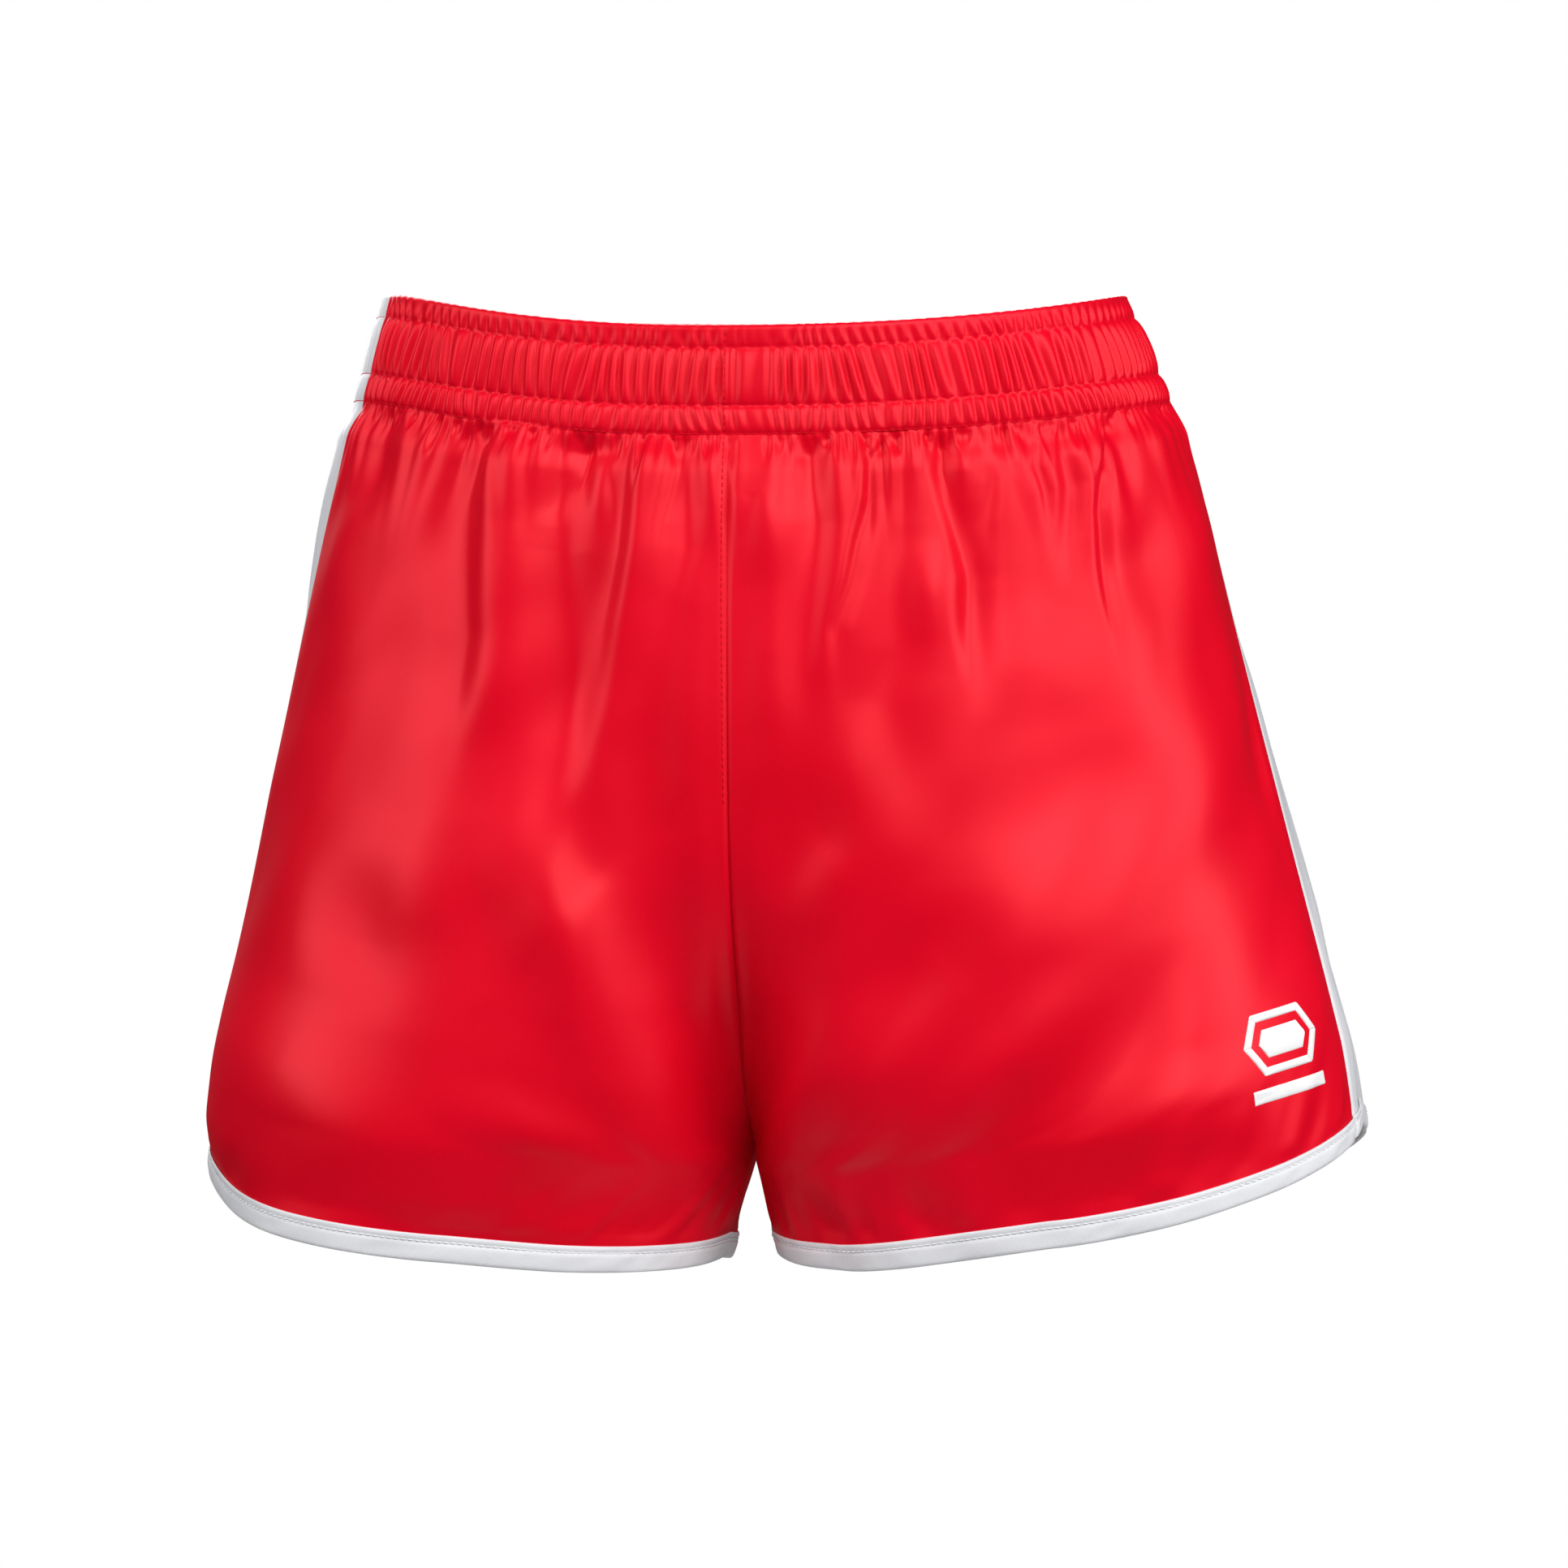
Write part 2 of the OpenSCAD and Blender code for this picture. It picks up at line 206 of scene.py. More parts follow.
def share(face, row):
    """How much of the way down from the waistband to the hem a row is, at the centre."""
    top = top_height(face, 1.0) - BAND_H
    saddle = (top - CROTCH_Z) / (top - hem_height(LEFT, 1.0))
    return np.where(row < SADDLE_ROW, saddle * (row - 1) / (SADDLE_ROW - 1),
                    mix(saddle, 1, (row - SADDLE_ROW) / (2 - SADDLE_ROW)))


def height(side, face, m, row):
    body = mix(top_height(face, m) - BAND_H, hem_height(side, m),
               mix(share(FRONT, row), share(face, row), m))
    return np.where(row <= 1, top_height(face, m) - row * BAND_H, body)


def end_angle(face, z):
    """The angle of the centre seam, and of the inseam below it."""
    lean = 180 - face * INSEAM_LEAN * ease((CROTCH_Z - z) / 40)
    return np.where(z > CROTCH_Z, np.degrees(np.arccos(-parting(z) ** (1 / SQUARENESS))), lean)


def side_line(side, row):
    return mix(*SIDE_LINE[side], np.clip(row - 1, 0, 1))


def place(side, face, a, row):
    """Angle and height at share a from the side panel's edge, 0, to the centre seam or inseam, 1.
    From -1 to 0, a runs over the side panel, from its middle line to its edge."""
    start = side_line(side, row) * face
    span = end_angle(face, height(side, face, 1.0, row)) - start
    edge = SIDE_PANEL_W / 2 / reach(face, height(side, face, 0.0, row)) * 180 / math.pi / span
    m = np.where(a < 0, (1 + a) * edge, mix(edge, 1, a))
    return face * (start + m * span), height(side, face, m, row)


def row_of(d):
    """The row at d millimetres below the top edge."""
    return np.where(d < BAND_H, d / BAND_H, 1 + (d - BAND_H) / HEM_SPAN)


def run(points):
    """Distance along a line of points."""
    steps = np.linalg.norm(np.diff(points, axis=0), axis=1)
    return np.concatenate([[0], np.cumsum(steps)])


BACK_START, SIDE_START = 900, 260    # where the back and side panels' noise and weave start


class Piece:
    """A cut piece of cloth. s is the distance along it at the foot of the waistband, in millimetres:
    from the centre seam on a front or back panel, and from the middle line on a side panel."""

    def __init__(self, side, face=None):
        self.side, self.face = side, face
        self.q = np.linspace(0, 1, 1501) if face else np.linspace(-1, 1, 801)
        angle, z = self.spot(self.q, np.full_like(self.q, 1.0))
        along = run(skin(side, angle, z))
        self.width = along[-1]
        self.s = self.width - along if face else along - self.width / 2

    def spot(self, q, row):
        if self.face:
            return place(self.side, self.face, q, row)
        front = place(self.side, FRONT, q - 1, row)
        back = place(self.side, BACK, -q - 1, row)
        return np.where(q > 0, front[0], back[0]), np.where(q > 0, front[1], back[1])

    def q_at(self, s):
        order = np.argsort(self.s)
        return np.interp(s, self.s[order], self.q[order])

    def seam_distance(self, s):
        """Distance from the nearer seam."""
        if self.face:
            return np.minimum(s, self.width - s)
        return self.width / 2 - np.abs(s)

    def around(self, s):
        """Distance round the garment, positive towards the wearer's left at the front."""
        if self.face:
            return self.side * s if self.face == FRONT else self.side * (BACK_START - s)
        return self.side * (SIDE_START - s)

    def normals(self, s, angle, z):
        """Outward directions, turned straight forwards or back at a centre seam."""
        n = outward(self.side, angle, z)
        if not self.face:
            return n
        below = ease((CROTCH_Z + 15 - z) / 22)
        free = mix(ease(np.broadcast_to(s, z.shape) / 7), 1.0, below)[..., None]
        n = n * np.concatenate([free, np.ones_like(free), np.ones_like(free)], -1)
        n = n + np.array([0, -self.face * 0.5, 0]) * (1 - free)
        return n / np.linalg.norm(n, axis=-1, keepdims=True)

    def points(self, s, d, lift=0.0, turn=0.0, height=None):
        """Points of the gathered cloth. turn is 0 outside, and 180 on the casing's inner layer."""
        s, d = np.broadcast_arrays(np.asarray(s, float), np.asarray(d, float))
        angle, z = self.spot(self.q_at(s), row_of(d))
        base, n = skin(self.side, angle, z), self.normals(s, angle, z)
        h = (relief(self, s, d) if height is None else height) + lift
        t = np.radians(turn)
        r = FOLD_R + h
        out = -FOLD_R + r * np.cos(t)
        up = r * np.sin(t)
        p = base + n * out[..., None] + np.array([0, 0, 1.0]) * up[..., None]
        if self.face:
            clear = 0.15 * ease(s / 4)
            p[..., 0] = self.side * np.maximum(self.side * p[..., 0], clear)
        return p


# ---------------- gathers and folds
# Channels between the rows of waist stitching: top, bottom, pitch of the ribs, depth, puff.
CHANNELS = [
    (-UPPER_ROW, UPPER_ROW, 5.1, 1.7, 1.3),
    (UPPER_ROW, MIDDLE_ROW, 5.5, 2.4, 1.8),
    (MIDDLE_ROW, LOWER_ROW, 4.6, 1.6, 1.5),
]
PINCH = -0.7               # how deep the stitching pulls the cloth in
FOLD_DEPTH = 1.2           # how tall the folds and swells listed below are made
SWELL_DEPTH = 1.5
FOLD_SOFTNESS = 1.3        # and how wide the folds are
FLAT_SPOT_S, FLAT_SPOT_D = 10, 62            # the plain cloth beside the front's centre seam

# Folds of the front below the waistband. Each is a line of (s, d) points, its widths towards the
# wearer's right and left, and its height: s is the distance from the centre-front seam towards the
# wearer's left, and d the distance below the top edge.
FRONT_FOLDS = [
    # wearer's right
    ([(-141, 44), (-139, 56), (-136, 66)], 7, 5, -3.0),
    ([(-96, 42), (-93, 67), (-88, 87), (-81, 115), (-79, 140)], 9, 5, -3.6),
    ([(-90, 44), (-92, 60)], 3, 3, -1.2),
    ([(-81, 50), (-77, 81), (-76, 134), (-76, 181), (-86, 225)], 9, 10, 2.6),
    ([(-52, 42), (-55, 54), (-61, 66), (-66, 74)], 9, 6, -1.8),
    ([(-51, 42), (-53, 68), (-53, 83), (-50, 105), (-43, 151), (-38, 200)], 8, 7, -3.8),
    ([(-43, 48), (-46, 70)], 5, 5, 1.4),
    ([(-37, 42), (-36, 63), (-36, 82), (-38, 108)], 7, 3, -3.0),
    ([(-29, 46), (-28, 72), (-29, 92), (-33, 140), (-42, 200), (-51, 250)], 6, 9, 2.6),
    ([(-17, 44), (-19, 60), (-21, 72)], 2.0, 2.0, -1.2),
    ([(-14, 48), (-14, 81), (-17, 100)], 7, 5, -2.6),
    ([(-9, 43), (-5, 66)], 4, 4, 1.5),
    # wearer's left
    ([(12, 60), (14, 78)], 10, 8, 1.6),
    ([(29, 40), (29, 47), (29, 53)], 4.5, 4.0, -3.6),
    ([(29, 58), (31, 72), (27, 100), (23, 125)], 7, 5, -2.2),
    ([(42, 50), (40, 80), (36, 120)], 7, 6, 1.6),
    ([(57, 42), (52, 49), (50, 63), (45, 79), (42, 92), (36, 110)], 1.8, 3.5, -1.9),
    ([(58, 50), (56, 73), (57, 95), (58, 117), (51, 136)], 8, 7, -1.8),
    ([(68, 90), (68, 110)], 8, 8, 1.6),
    ([(80, 41), (77, 55), (78, 66), (81, 81), (83, 93), (81, 112)], 3.2, 5.5, -3.2),
    ([(76, 42), (75, 50)], 4, 3, -1.8),
    ([(93, 41), (93, 60), (90, 74)], 4, 3, -1.6),
    ([(100, 41), (100, 46)], 3.5, 3.5, -2.2),
    ([(108, 41), (108, 50)], 2.2, 2.2, -1.9),
    ([(114, 42), (111, 56), (113, 66)], 1.6, 1.8, -1.2),
    ([(118, 40), (118, 46)], 3.5, 3, -1.8),
    ([(124, 39), (122, 52)], 2.2, 2.4, -2.0),
    ([(121, 52), (123, 64), (120, 84)], 4.0, 4.0, -1.9),
    ([(132, 40), (132, 47)], 4.0, 4.0, -2.0),
    ([(148, 38), (141, 51), (136, 62), (133, 75), (132, 104)], 1.8, 3.0, -1.7),
    ([(148, 44), (148, 62)], 4.0, 4.0, -2.2),
    ([(113, 100), (112, 120)], 12, 12, -1.2),
    ([(107, 140), (107, 175)], 14, 14, -1.4),
    ([(144, 90), (144, 105)], 10, 10, -1.0),
]

# Soft swells and hollows lower down the front: s, d, reach along s, reach along d, height.
FRONT_SWELLS = [
    (-112, 302, 44, 52, 3.8),
    (-74, 298, 18, 26, 2.0),
    (-46, 222, 20, 50, 2.2),
    (-94, 229, 26, 34, -2.2),
    (-62, 316, 24, 26, -1.8),
    (-140, 332, 24, 16, -2.2),
    (-86, 334, 22, 14, -1.8),
    (70, 238, 26, 36, -2.6),
    (46, 274, 24, 36, 2.0),
    (107, 276, 18, 42, 2.2),
    (155, 300, 24, 24, 2.0),
    (74, 314, 20, 20, 1.2),
    (136, 268, 18, 40, -1.6),
    (166, 328, 18, 20, -1.8),
    (104, 330, 18, 18, -1.6),
    (95, 205, 30, 60, 1.6),
    (150, 180, 34, 90, 1.4),
    (165, 250, 30, 50, 1.0),
    (24, 190, 16, 60, -1.4),
]

# Back folds: the same form as the front's, s positive towards the wearer's left.
BACK_FOLDS = [
    ([(-128, 42), (-124, 70), (-118, 110)], 6, 5, -2.6),
    ([(-98, 42), (-96, 64), (-90, 92)], 5, 4, -2.6),
    ([(-70, 42), (-72, 70), (-74, 116), (-70, 150)], 7, 5, -3.0),
    ([(-44, 42), (-44, 66)], 4, 4, -2.2),
    ([(-24, 42), (-26, 72), (-30, 112)], 6, 4, -2.6),
    ([(18, 42), (20, 64), (24, 96)], 5, 5, -2.4),
    ([(46, 42), (48, 74), (54, 124), (58, 170)], 7, 6, -3.0),
    ([(78, 42), (78, 60)], 4, 4, -2.2),
    ([(104, 42), (106, 72), (112, 118)], 6, 6, -2.8),
    ([(134, 42), (136, 66)], 4, 4, -2.0),
    ([(-58, 60), (-60, 120), (-64, 180)], 9, 9, 2.2),
    ([(34, 60), (38, 120), (44, 190)], 9, 9, 2.2),
]


def fold_line(s, d, line, width_low, width_high, tall):
    """A long fold: a ridge where tall is positive and a valley where it is negative."""
    line_s, line_d = np.array(line, float).T
    middle = np.interp(d, line_d, line_s)
    off = s - middle
    width = np.where(off < 0, width_low, width_high)
    long = line_d[-1] - line_d[0]
    start = 10 if line_d[0] < 50 else 16 + 0.3 * long
    first = LOWER_ROW - 1 if line_d[0] < 50 else line_d[0] - start * 0.6
    fade = 14 + 0.3 * long
    ends = ease((d - first) / start) * ease((line_d[-1] + fade - d) / (fade * 1.5))
    return tall * np.exp(-(off / (FOLD_SOFTNESS * width)) ** 2) * ends


def ribs(phase):
    """Rounded crests with tight valleys between them, from 0 to 1."""
    return 1.69 * (np.sqrt(np.cos(np.pi * phase) ** 2 + 0.3) - 0.548)


def teeth(around, flat):
    """The fine bite of the cloth along a row of stitching."""
    return 0.35 * flat * ribs(around / 3.1 + 0.8 * noise(around / 9, 2.5, 29))


def crotch_nearness(d):
    """0 down the centre seam, easing to 1 just above the crotch."""
    return ease((d - CROTCH_D + 55) / 42)


def channel_relief(around, d, index, flat, full):
    """One channel of the waistband, with flat the gathers' strength and full the puff's."""
    top, bottom, pitch, depth, puff = CHANNELS[index]
    t = np.clip((d - top) / (bottom - top), 0, 1)
    seed = 10 * index
    phase = around / pitch + 0.5 * noise(around / 13, 0.4 * t + 9, seed + 1)
    phase = phase + 0.7 * (t - 0.5) * noise(around / 15, 0.5, seed + 2)
    size = 0.9 + 0.25 * noise(around / 6.5, 0.5, seed + 3)
    belly = np.maximum(1 - np.abs(2 * t - 1) ** 2.4, 0) ** 0.55
    crest = ribs(phase) * size
    if index == 0:
        flat = flat * mix(0.08, 1, ease((np.abs(d) - 0.6) / 5.5))
    raised = belly * (puff * full + depth * flat * (crest - 0.55))
    return raised + PINCH * full + (1 - belly) * teeth(around, flat)


def darts(around, e, pitch, seed):
    """Short creases that run down from the stitching and close, steep on one side."""
    table = np.random.default_rng(seed).uniform(0, 1, (512, 4))
    cell = np.floor(around / pitch).astype(int)
    total = 0.0
    for step in (-1, 0, 1):
        where, lean, long, deep = np.moveaxis(table[(cell + step) % 512], -1, 0)
        middle = (cell + step + 0.2 + 0.6 * where) * pitch + (lean - 0.5) * 0.3 * e
        length = 7 + 17 * long ** 2
        off = around - middle
        width = np.where(off * (lean - 0.5) < 0, 0.9, 2.4) * (0.5 + 0.5 * ease(1 - e / length))
        total = total - (0.6 + 1.6 * deep) * np.exp(-(off / width) ** 2) * ease((1 - e / length) * 1.6)
    return total * ease(e / 2)


def skirt_relief(around, d, flat, full, seam):
    """The frill under the lowest row of stitching and the broad waves that it settles into."""
    e = np.maximum(d - LOWER_ROW, 0)
    free = 1 - np.exp(-e / 1.6)
    phase = around / 4.9 + 0.8 * noise(around / 12, e / 40, 31)
    fine = 1.4 * (ribs(phase) - 0.5) * np.exp(-(e / 7) ** 1.7)
    middle_phase = around / 10.5 + 0.9 * noise(around / 21, e / 60, 32)
    middle = 1.1 * (ribs(middle_phase) - 0.5) * ease(e / 8) * np.exp(-(e / 27) ** 2)
    broad = 1.4 * noise(around / 17, e / 75, 33) * ease(e / 20) * np.exp(-(e / 120) ** 2)
    drape = 2.6 * noise(around / 42 + e / 120, e / 48, 34) * ease(e / 60)
    drape = drape + 1.0 * noise(around / 21 + e / 90, e / 30, 35) * ease(e / 60)
    blouse = 3.0 * ease(e / 15) * np.exp(-(e / 75) ** 2)
    gathers = flat * (fine + middle + darts(around, e, 8.5, 36))
    gathers = gathers + (broad + drape) * ease(seam / 18) * np.minimum(flat * 6, 1)
    return (PINCH * full + teeth(around, flat)) * (1 - free) + free * (gathers + blouse)


def hem_tuck(piece, s, d):
    """The cloth curls in towards the binding, except at the side and at the inseam."""
    if not piece.face:
        return 0.0 * s * d
    tuck = -8.5 * ease(1 - (HEM_D - d) / 62) ** 1.6
    return tuck * ease((piece.width - s) / 90) * mix(0.1, 1, ease((s - 12) / 50))


def hem_relief(around, d, flat):
    """Small puckers above the binding."""
    above = BINDING_D - d
    slanted = around - 0.35 * above
    pucker = 1.3 * noise(slanted / 6.5, above / 60, 41) + 1.0 * noise(slanted / 15, 3.5, 42)
    return flat * pucker * np.exp(-(np.maximum(above, 0) / 26) ** 2) * ease(above / 5)


def centre_relief(piece, s, d):
    """Each leg rounds in towards the centre seam, with a deeper hollow beside it on the wearer's right."""
    down = ease((d - 130) / 150)
    leaving = 1 - crotch_nearness(d)
    round_off = -5.0 * np.exp(-(s / 26) ** 2) * down * leaving
    swell = 3.0 * hump(s, 58, 44) * down
    wide = 7 if piece.side == RIGHT else 20
    groove = -2.6 * np.exp(-(s / wide) ** 2) * ease((d - 60) / 150) * leaving
    deep = 4.2 if piece.side == RIGHT else 0.6
    hollow = -deep * np.exp(-((s - 22) / 13) ** 2) * ease((d - 60) / 110) * ease(s / 6) * leaving
    return round_off + swell + groove + hollow


def relief(piece, s, d):
    """How far the cloth stands out from the smooth surface."""
    s, d = np.broadcast_arrays(np.asarray(s, float), np.asarray(d, float))
    around = piece.around(s)
    seam = piece.seam_distance(s)
    flat = ease(seam / 2.6)
    full = mix(0.3, 1, ease((piece.width - s) / 14)) if piece.face else 0.3
    if not piece.face:
        flat = 0.16 * flat
    if piece.face == FRONT and piece.side == LEFT:
        flat = flat * mix(1, 0.12, hump(s, FLAT_SPOT_S, 12) * (d < FLAT_SPOT_D))
    h = np.where(d <= UPPER_ROW, channel_relief(around, d, 0, flat, full), 0.0)
    h = np.where((d > UPPER_ROW) & (d <= MIDDLE_ROW), channel_relief(around, d, 1, flat, full), h)
    h = np.where((d > MIDDLE_ROW) & (d <= LOWER_ROW), channel_relief(around, d, 2, flat, full), h)
    low = skirt_relief(around, d, flat, full, seam)
    if piece.face:
        across = piece.side * s
        held_d = np.minimum(d, BINDING_D)
        for fold in FRONT_FOLDS if piece.face == FRONT else BACK_FOLDS:
            low = low + FOLD_DEPTH * fold_line(across, held_d, *fold) * ease(seam / 4)
        if piece.face == FRONT:
            for middle_s, middle_d, reach_s, reach_d, tall in FRONT_SWELLS:
                swell = hump(across, middle_s, reach_s) * hump(held_d, middle_d, reach_d)
                low = low + SWELL_DEPTH * tall * swell * ease(seam / 9)
        low = low + centre_relief(piece, s, d)
    low = low + hem_relief(around, d, flat) + hem_tuck(piece, s, d)
    h = np.where(d > LOWER_ROW, low, h)
    sunk = mix(0.12, 1.1, ease((d - LOWER_ROW) / 5))
    if piece.face:
        sunk = sunk * np.where(s < 8, 1 - crotch_nearness(d), 1)
    return h - sunk * np.exp(-(seam / 1.1) ** 2)


# ---------------- meshes
def make_object(name, vertices, faces, material, uv=None):
    mesh = bpy.data.meshes.new(name)
    mesh.from_pydata((np.asarray(vertices) * MM).tolist(), [], faces)
    mesh.update()
    mesh.shade_smooth()
    if uv is not None:
        layer = mesh.uv_layers.new(name="cloth")
        index = np.empty(len(mesh.loops), int)
        mesh.loops.foreach_get("vertex_index", index)
        layer.data.foreach_set("uv", np.asarray(uv, np.float32)[index].ravel())
    mesh.materials.append(material)
    obj = bpy.data.objects.new(f"{name}_detail", mesh)
    bpy.context.scene.collection.objects.link(obj)
    return obj


def grid_faces(columns, rows, loop_columns=False, loop_rows=False, flip=False):
    faces = []
    for i in range(columns if loop_columns else columns - 1):
        i2 = (i + 1) % columns
        for j in range(rows if loop_rows else rows - 1):
            j2 = (j + 1) % rows
            quad = (i * rows + j, i2 * rows + j, i2 * rows + j2, i * rows + j2)
            faces.append(quad[::-1] if flip else quad)
    return faces


def grid_object(name, points, material, uv=None, loop_columns=False, loop_rows=False, flip=False):
    columns, rows = points.shape[:2]
    faces = grid_faces(columns, rows, loop_columns, loop_rows, flip)
    flat_uv = None if uv is None else uv.reshape(-1, 2)
    return make_object(name, points.reshape(-1, 3), faces, material, flat_uv)


def garment(obj, node, body="garment"):
    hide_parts(node)
    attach(obj, body)
    return obj


# ---------------- materials
class Nodes:
    """A short way to write a material's nodes."""

    def __init__(self, name):
        self.material = bpy.data.materials.new(name)
        self.material.use_nodes = True
        self.tree = self.material.node_tree
        self.shader = self.tree.nodes["Principled BSDF"]

    def add(self, kind, inputs=None, **settings):
        node = self.tree.nodes.new("ShaderNode" + kind)
        for key, value in settings.items():
            setattr(node, key, value)
        for key, value in (inputs or {}).items():
            self.put(value, node.inputs[key])
        return node

    def put(self, value, socket):
        if isinstance(value, bpy.types.NodeSocket):
            self.tree.links.new(value, socket)
        else:
            socket.default_value = value

    def maths(self, operation, a, b=0.0):
        return self.add("Math", {0: a, 1: b}, operation=operation).outputs[0]

    def ramp(self, factor, stops):
        node = self.add("ValToRGB", {0: factor})
        elements = node.color_ramp.elements
        for element, (position, colour) in zip(elements, stops):
            element.position = position
            element.color = (*colour, 1)
        for position, colour in stops[2:]:
            elements.new(position).color = (*colour, 1)
        return node.outputs[0]

    def map_range(self, value, low, high):
        return self.add("MapRange", {0: value, 3: low, 4: high}).outputs[0]

    def finish(self, colour, roughness, bump_height, bump_strength, bump_distance, **fixed):
        self.put(colour, self.shader.inputs["Base Color"])
        self.put(roughness, self.shader.inputs["Roughness"])
        bump = self.add("Bump", {"Height": bump_height, "Strength": bump_strength,
                                 "Distance": bump_distance * MM})
        self.put(bump.outputs[0], self.shader.inputs["Normal"])
        for key, value in fixed.items():
            self.shader.inputs[key.replace("_", " ")].default_value = value
        return self.material


def satin(name, deep, full, roughness, gloss, tint, metallic):
    """Smooth polyester satin: long floats across a fine diagonal weave, with painted shade and painted
    sheen in soft random blotches of deeper and fuller red.
    """
    n = Nodes(name)
    cloth = n.add("UVMap", uv_map="cloth").outputs[0]
    metres = n.add("TexCoord").outputs["Object"]
    # patches paints soft random blotches of shade and sheen into the colour, about 7 cm across; fibres adds
    # fine streaks along the cloth.
    patches = n.add("TexNoise", {"Vector": metres, "Scale": 14.0, "Detail": 3.0}).outputs[0]
    fibre_map = n.add("Mapping", {"Vector": cloth, "Scale": (0.9, 0.08, 1.0)}).outputs[0]
    fibres = n.add("TexNoise", {"Vector": fibre_map, "Scale": 4.0, "Detail": 4.0}).outputs[0]
    tone = n.maths("ADD", n.maths("MULTIPLY", patches, 0.7), n.maths("MULTIPLY", fibres, 0.3))
    colour = n.ramp(tone, [(0.32, deep), (0.68, full)])
    weave = n.add("TexWave", {"Vector": cloth, "Scale": 0.9, "Distortion": 0.6, "Detail": 1.0},
                  bands_direction="DIAGONAL").outputs["Fac"]
    surface = n.maths("ADD", n.maths("MULTIPLY", weave, 0.5), n.maths("MULTIPLY", fibres, 0.5))
    rough = n.map_range(tone, roughness - 0.05, roughness + 0.07)
    full_tint = (*(np.array(full) / max(full)).tolist(), 1)
    return n.finish(colour, rough, surface, 0.10, 0.12, Metallic=metallic, Sheen_Weight=0.06,
                    Sheen_Roughness=0.4, Sheen_Tint=full_tint, Specular_IOR_Level=gloss,
                    Specular_Tint=(*tint, 1))


def woven(name, deep, full, roughness, scale, strength=0.35):
    """A plain tape or label with a visible square weave."""
    n = Nodes(name)
    cloth = n.add("UVMap", uv_map="cloth").outputs[0]
    warp = n.add("TexWave", {"Vector": cloth, "Scale": scale, "Distortion": 0.4}).outputs["Fac"]
    weft = n.add("TexWave", {"Vector": cloth, "Scale": scale, "Distortion": 0.4},
                 bands_direction="Y").outputs["Fac"]
    weave = n.maths("MULTIPLY", warp, weft)
    patches = n.add("TexNoise", {"Vector": cloth, "Scale": 0.09, "Detail": 3.0}).outputs[0]
    tone = n.maths("ADD", n.maths("MULTIPLY", patches, 0.75), n.maths("MULTIPLY", weave, 0.25))
    colour = n.ramp(tone, [(0.2, deep), (0.7, full)])
    rough = n.map_range(tone, roughness + 0.06, roughness - 0.05)
    return n.finish(colour, rough, weave, strength, 0.15, Sheen_Weight=0.1, Specular_IOR_Level=0.35)


def thread(name, deep, full, roughness, gloss):
    """Twisted thread: fine slanting plies along each stitch."""
    n = Nodes(name)
    metres = n.add("TexCoord").outputs["Object"]
    plies = n.add("TexWave", {"Vector": metres, "Scale": 900.0, "Distortion": 2.0},
                  bands_direction="DIAGONAL").outputs["Fac"]
    fuzz = n.add("TexNoise", {"Vector": metres, "Scale": 700.0, "Detail": 2.0}).outputs[0]
    tone = n.maths("ADD", n.maths("MULTIPLY", plies, 0.5), n.maths("MULTIPLY", fuzz, 0.5))
    colour = n.ramp(tone, [(0.25, deep), (0.75, full)])
    rough = n.map_range(fuzz, roughness - 0.06, roughness + 0.08)
    return n.finish(colour, rough, tone, 0.5, 0.08, Specular_IOR_Level=gloss)


RED_SATIN = satin("red_satin", (0.62, 0.0002, 0.011), (0.71, 0.0003, 0.016), roughness=0.40,
                  gloss=0.17, tint=(1.0, 0.9, 0.88), metallic=0.09)
WHITE_SATIN = satin("white_satin", (0.58, 0.59, 0.62), (0.66, 0.665, 0.69), roughness=0.45,
                    gloss=0.3, tint=(1.0, 1.0, 1.0), metallic=0.0)
WHITE_TAPE = woven("white_tape", (0.62, 0.63, 0.66), (0.72, 0.725, 0.75), roughness=0.55, scale=1.1)
ELASTIC = woven("ribbed_elastic", (0.66, 0.66, 0.64), (0.80, 0.80, 0.78), roughness=0.7, scale=0.35,
                strength=0.6)
LABEL = woven("woven_label", (0.76, 0.76, 0.74), (0.86, 0.86, 0.85), roughness=0.5, scale=1.6)
RED_THREAD = thread("red_thread", (0.54, 0.0003, 0.010), (0.66, 0.0004, 0.015), roughness=0.5,
                    gloss=0.12)
WHITE_THREAD = thread("white_thread", (0.60, 0.61, 0.64), (0.74, 0.74, 0.76), roughness=0.5, gloss=0.3)
EMBROIDERY = thread("embroidery_thread", (0.72, 0.72, 0.73), (0.82, 0.82, 0.82), roughness=0.4,
                    gloss=0.4)


# ---------------- panels
FRILL_END = 84.0           # down to here the rows of the mesh are closer together
RAW_EDGE_D = HEM_D - 2.0   # the panels end inside the binding's fold
COLUMN_SPACING = {FRONT: 0.68, BACK: 0.85, None: 1.0}


def stations():
    """Rows of a panel as (d, turn): up the casing's inner layer, over the top and down outside."""
    inner = [(d, 180.0) for d in np.linspace(LOWER_ROW, FOLD_R, 22)]
    over = [(FOLD_R, turn) for turn in np.linspace(180, 0, 8)[1:-1]]
    band = [(d, 0.0) for d in np.linspace(FOLD_R, BAND_H, 54)]
    frill = [(d, 0.0) for d in np.linspace(BAND_H, FRILL_END, 42)[1:]]
    body = [(d, 0.0) for d in np.linspace(FRILL_END, RAW_EDGE_D, 112)[1:]]
    return np.array(inner + over + band + frill + body).T


def cloth_piece(name, piece, spacing, material):
    count = int(piece.width / spacing)
    low, high = (0, piece.width) if piece.face else (-piece.width / 2, piece.width / 2)
    s = np.linspace(low, high, count)[:, None]
    d, turn = stations()
    points = piece.points(s + 0 * d, d + 0 * s, 0.0, turn + 0 * s)
    uv = np.stack(np.broadcast_arrays(piece.around(s), np.where(turn > 90, -d, d)), -1)
    flip = piece.side == LEFT if piece.face != BACK else piece.side == RIGHT
    garment(grid_object(name, points, material, uv, flip=flip), name)


